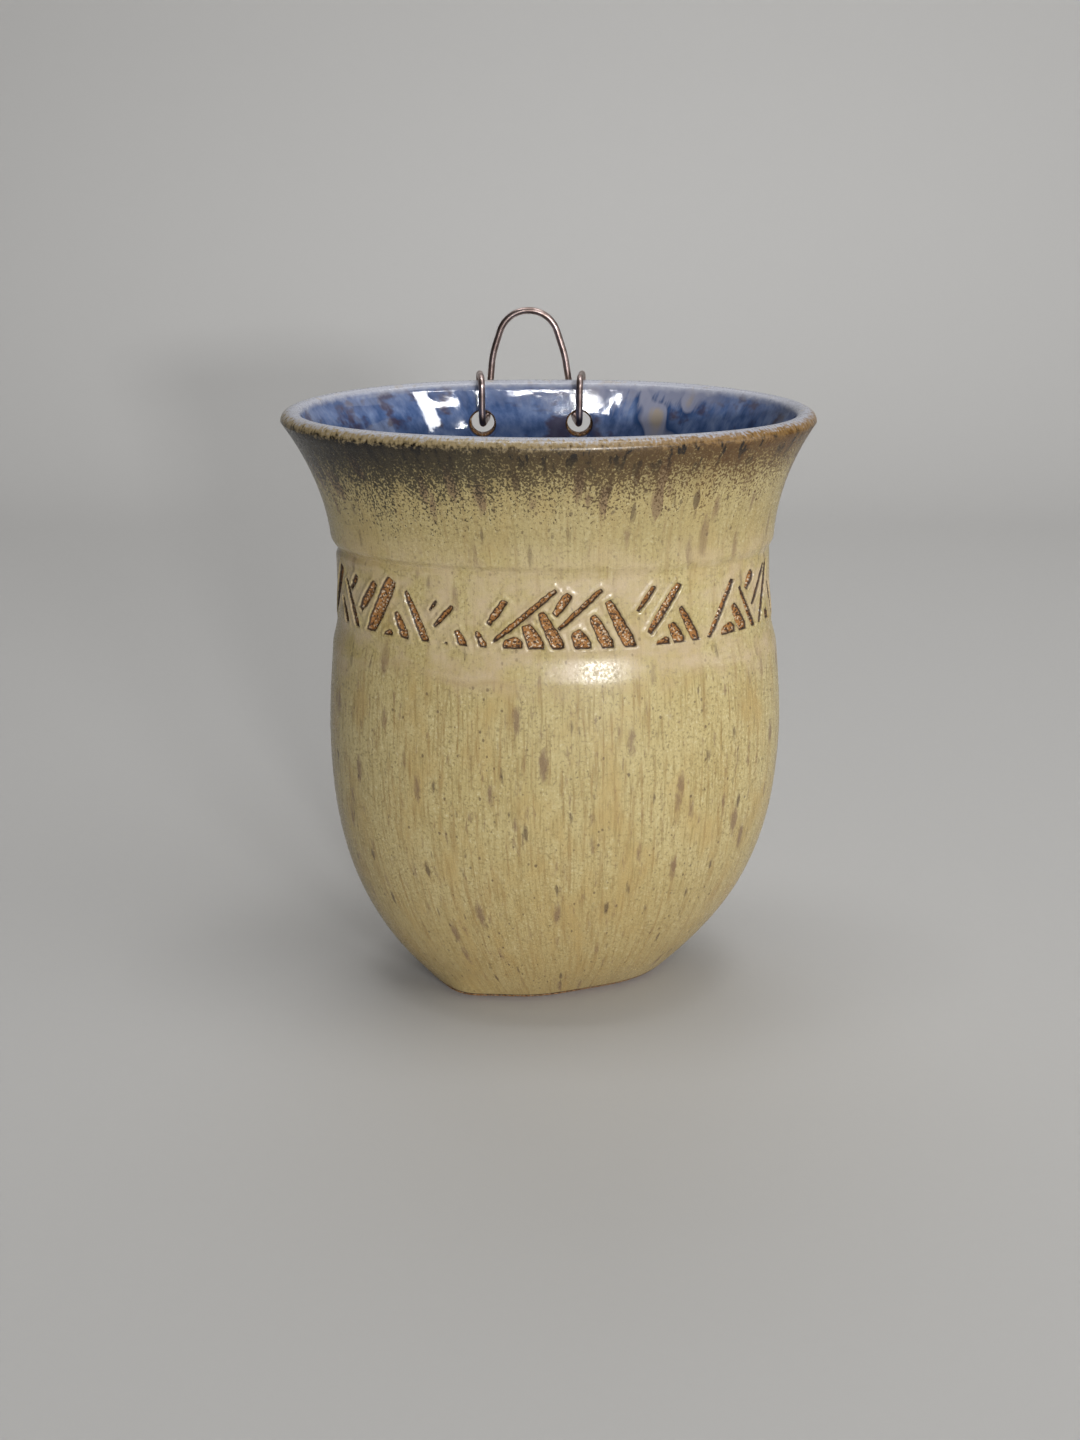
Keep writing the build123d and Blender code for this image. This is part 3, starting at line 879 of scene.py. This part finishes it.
class VASE_OT_throw_pot(bpy.types.Operator):
    """Throws the pot, pats its back flat, presses the band, pierces the hanger holes and glazes it"""
    bl_idname = "vase.throw_pot"
    bl_label = "Stoneware pot"

    def execute(self, context):
        sizes = context.scene.vase_pot
        rows = pot_rows(sizes)
        pot = turned("stoneware_pot", pot_profile(sizes, rows), COLUMNS)
        surface = Surface(pot, sizes, rows)
        surface.push(hand_marks(surface))
        edge = press_band(surface)
        pot.data.vertices.foreach_set("co", surface.points().ravel())
        pot.data.update()
        foot = np.where(surface.inside, FAR, surface.up - FOOT_BARE)
        holes = [sizes.hole_offset + side * sizes.hole_spacing / 2 for side in (-1, 1)]
        for across in holes:
            pierce(pot, sizes, across)
        keep_on_mesh(pot, surface, np.minimum(edge, foot), holes, sizes)
        bpy.ops.object.shade_smooth_by_angle(angle=radians(POT_CREASE))
        pot.data.materials.clear()
        pot.data.materials.append(glazed_stoneware(context.scene.vase_pot_colours))
        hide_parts("vessel")
        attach(pot, "vessel")
        return {"FINISHED"}


def rounded(corners, radii, steps):
    """A path through corner points whose inner corners are rounded."""
    path = [corners[0]]
    for before, corner, after, radius in zip(corners, corners[1:], corners[2:], radii):
        back, ahead = (before - corner).normalized(), (after - corner).normalized()
        half_angle = back.angle(ahead) / 2
        reach = radius / tan(half_angle)
        middle = corner + (back + ahead).normalized() * radius / sin(half_angle)
        start, end = corner + back * reach - middle, corner + ahead * reach - middle
        sweep = start.angle(end)
        for step in range(steps + 1):
            share = step / steps
            path.append(middle + (start * sin(sweep * (1 - share)) + end * sin(sweep * share)) / sin(sweep))
    path.append(corners[-1])
    return path


def wire_corners(wire, pot):
    """Corner points of the wire, from one tail behind the rim to the other."""
    hook = pot.hole_spacing / 2
    halves = []
    for side in (-1, 1):
        tail = pot.hole_offset + side * (hook + wire.tail_offset)
        inner = pot.hole_offset + side * hook
        leg = pot.hole_offset + side * (hook - wire.leg_inset)
        arch = pot.hole_offset + wire.arch_offset + side * wire.arch_width / 2
        shoulder = pot.hole_offset + wire.arch_offset + side * wire.shoulder_width / 2
        halves.append([Vector(corner) for corner in (
            (tail, wire.behind, wire.tail_end),
            (tail, wire.behind, wire.over_rim),
            (inner, wire.within, wire.over_rim),
            (inner, wire.within, pot.hole_height),
            (leg, wire.behind, pot.hole_height),
            (shoulder, wire.behind, wire.arch_top - wire.shoulder_drop),
            (arch, wire.behind, wire.arch_top))])
    left, right = halves
    return left + right[::-1]


class VASE_OT_bend_wire(bpy.types.Operator):
    """Bends the wire hanger through the two holes and over the rim"""
    bl_idname = "vase.bend_wire"
    bl_label = "Wire hanger"

    def execute(self, context):
        sizes = context.scene.vase_wire
        corners = wire_corners(sizes, context.scene.vase_pot)
        spread = atan2((sizes.shoulder_width - sizes.arch_width) / 2, sizes.shoulder_drop)
        arch_bend = (sizes.arch_width - sizes.arch_flat) / 2 * tan((pi / 2 + spread) / 2)
        half = [sizes.bend] * 4 + [sizes.shoulder_bend, arch_bend]
        path = rounded(corners, half + half[::-1], BEND_STEPS)
        bpy.ops.object.select_all(action="DESELECT")
        bpy.ops.curve.primitive_bezier_curve_add()
        wire = context.object
        wire.name = "copper_wire_hanger"
        curve = wire.data
        curve.splines.clear()
        spline = curve.splines.new("POLY")
        spline.points.add(len(path) - 1)
        spline.points.foreach_set("co", [value for place in path for value in (*place, 1)])
        curve.dimensions = "3D"
        curve.bevel_depth = sizes.diameter / 2
        curve.bevel_resolution = WIRE_ROUNDING
        curve.use_fill_caps = True
        bpy.ops.object.convert(target="MESH")
        bpy.ops.object.shade_smooth_by_angle(angle=radians(WIRE_CREASE))
        wire.data.materials.clear()
        wire.data.materials.append(patinated_copper(context.scene.vase_wire_colours))
        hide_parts("wire_hanger")
        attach(wire, "hanger")
        return {"FINISHED"}


def softbox(lamp):
    """A soft rectangular lamp, hung in its direction from its aim and turned to it."""
    azimuth, elevation = radians(lamp.azimuth), radians(lamp.elevation)
    way = Vector((sin(azimuth) * cos(elevation), -cos(azimuth) * cos(elevation), sin(elevation)))
    bpy.ops.object.light_add(type="AREA", location=Vector(lamp.aim) + way * lamp.away)
    box = bpy.context.object
    box.name = lamp.name
    box.rotation_euler = (way.to_track_quat("Z", "Y") @ Quaternion((0, 0, 1), radians(lamp.roll))).to_euler()
    box.data.shape = "RECTANGLE"
    box.data.size = lamp.wide
    box.data.size_y = lamp.tall
    box.data.energy = lamp.power


def paper_sweep(tint):
    """A floor of paper that curves up behind the pot."""
    bpy.ops.object.select_all(action="DESELECT")
    bpy.ops.mesh.primitive_plane_add(size=SWEEP_WIDTH, location=(0, SWEEP_START - SWEEP_WIDTH / 2, 0))
    sweep = bpy.context.object
    sweep.name = "sweep"
    bpy.ops.object.transform_apply(location=True, rotation=True, scale=True)
    for vertex in sweep.data.vertices:
        vertex.select = vertex.co.y > SWEEP_START - MM
    for edge in sweep.data.edges:
        edge.select = all(sweep.data.vertices[number].select for number in edge.vertices)
    for face in sweep.data.polygons:
        face.select = False
    bpy.ops.object.mode_set(mode="EDIT")
    bpy.ops.mesh.select_mode(type="EDGE")
    stride = 2 * SWEEP_RADIUS * sin(pi / 4 / SWEEP_STEPS)
    for step in range(SWEEP_STEPS):
        turn = pi / 2 * (step + 0.5) / SWEEP_STEPS
        move = (0, stride * cos(turn), stride * sin(turn))
        bpy.ops.mesh.extrude_edges_move(TRANSFORM_OT_translate={"value": move})
    bpy.ops.mesh.extrude_edges_move(TRANSFORM_OT_translate={"value": (0, 0, SWEEP_WIDTH / 2)})
    bpy.ops.object.mode_set(mode="OBJECT")
    bpy.ops.object.shade_smooth()
    sweep.data.materials.append(matt_paper(tint))


def studio_air(scene, tint):
    """A plain world: faint light all round, and a brighter background where only the camera looks."""
    world = bpy.data.worlds.new("studio")
    scene.world = world
    world.use_nodes = True
    tree = world.node_tree
    tree.nodes.clear()
    seen = add(tree, "LightPath", give="Is Camera Ray")
    strength = add(tree, "MapRange", (seen, 0, 1, AIR_LIGHT, AIR_SEEN))
    air = add(tree, "Background", {"Color": tint, "Strength": strength})
    add(tree, "OutputWorld", {"Surface": air})


def stand_camera(scene):
    """The camera, a little above the rim and looking down at the pot."""
    bpy.ops.object.camera_add(location=CAMERA_PLACE, rotation=(radians(90 - CAMERA_TILT), 0, 0))
    scene.camera = bpy.context.object
    scene.camera.data.lens = LENS
    scene.camera.data.sensor_width = SENSOR_WIDTH


class VASE_OT_set_stage(bpy.types.Operator):
    """Sets the paper sweep, the lamps, the air and the camera"""
    bl_idname = "vase.set_stage"
    bl_label = "Stage"

    def execute(self, context):
        colours = context.scene.vase_stage_colours
        paper_sweep(colours.sweep)
        for lamp in LAMPS:
            softbox(lamp)
        studio_air(context.scene, colours.air)
        stand_camera(context.scene)
        context.scene.view_settings.view_transform = "Standard"
        return {"FINISHED"}


class VASE_PT_panel(bpy.types.Panel):
    """Sizes, colours and steps of the wall vase"""
    bl_idname = "VASE_PT_panel"
    bl_label = "Wall Vase"
    bl_space_type = "VIEW_3D"
    bl_region_type = "UI"
    bl_category = "Wall Vase"

    def draw(self, context):
        for step in STEPS:
            self.layout.operator(step.bl_idname)
        for name in GROUPS:
            box = self.layout.box()
            settings = getattr(context.scene, name)
            for field in settings.__annotations__:
                box.prop(settings, field)


STEPS = (VASE_OT_throw_pot, VASE_OT_bend_wire, VASE_OT_set_stage)
GROUPS = {
    "vase_pot": PotSizes,
    "vase_wire": WireSizes,
    "vase_pot_colours": PotColours,
    "vase_wire_colours": WireColours,
    "vase_stage_colours": StageColours,
}


def register():
    for kind in (*GROUPS.values(), *STEPS, VASE_PT_panel):
        bpy.utils.register_class(kind)
    for name, kind in GROUPS.items():
        setattr(bpy.types.Scene, name, bpy.props.PointerProperty(type=kind))


def unregister():
    for name in GROUPS:
        delattr(bpy.types.Scene, name)
    for kind in (VASE_PT_panel, *STEPS, *GROUPS.values()):
        bpy.utils.unregister_class(kind)


def main():
    register()
    bpy.ops.vase.throw_pot()
    bpy.ops.vase.bend_wire()
    bpy.ops.vase.set_stage()


if __name__ == "__main__":
    main()
